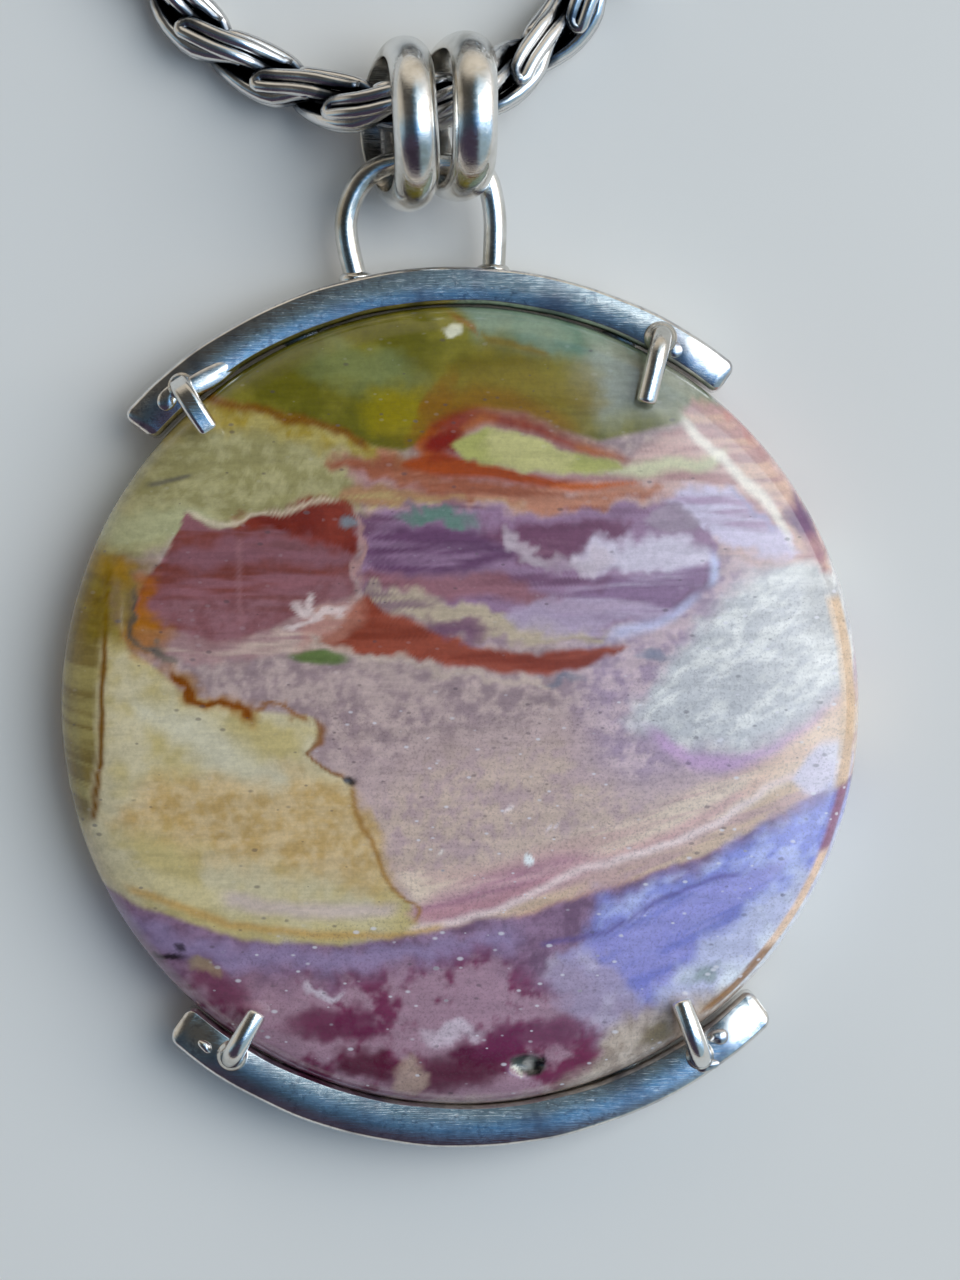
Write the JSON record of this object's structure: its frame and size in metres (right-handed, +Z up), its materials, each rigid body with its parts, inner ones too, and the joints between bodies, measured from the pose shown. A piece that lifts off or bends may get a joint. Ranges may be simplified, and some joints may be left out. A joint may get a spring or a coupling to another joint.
{
  "type": "mookaite pendant on a chain",
  "caption": "Round polished mookaite stone held by bent wire prongs on curved silver bars, hung by a ring bail on a woven silver chain with a hook clasp.",
  "frame": {"origin": "on the surface it rests on, under the middle of the box around pendant and bail, without the chain", "axes": "+Z up, out of the stone's polished front; +Y from the stone towards the bail and the chain; +X to the right seen from the front"},
  "size_m": [0.045, 0.1168, 0.0098],
  "materials": {
    "mookaite": "polished",
    "brushed_silver": "brushed sterling silver with fine scratches",
    "silver": "polished sterling silver",
    "oxidised_silver": "oxidised sterling silver, bright on its ridges"
  },
  "bodies": {
    "necklace": {"chain": "oxidised_silver", "chain_coil": "oxidised_silver", "chain_end": "oxidised_silver", "chain_cap_ring": "silver", "clasp_ring": "silver", "chain_cap_hook": "silver", "clasp_hook": "silver"},
    "bail": {"bail_ring_left": "silver", "bail_ring_right": "silver"},
    "pendant": {"stone": "mookaite", "upper_bar": "brushed_silver", "lower_bar": "brushed_silver", "back_rail_left": "brushed_silver", "back_rail_right": "brushed_silver", "prong_upper_left": "silver", "prong_upper_right": "silver", "prong_lower_left": "silver", "prong_lower_right": "silver", "hanging_loop": "silver"}
  },
  "joints": [
    {"name": "bail_swing", "type": "hinge", "parent": "necklace", "child": "bail", "pos_m": [-0.0018, 0.02735, 0.0034], "axis": [-1, 0, 0], "range_deg": [0, 90]},
    {"name": "pendant_swing", "type": "hinge", "parent": "bail", "child": "pendant", "pos_m": [-0.0018, 0.0241, 0.0033], "axis": [-1, 0, 0], "range_deg": [-15, 20]}
  ]
}
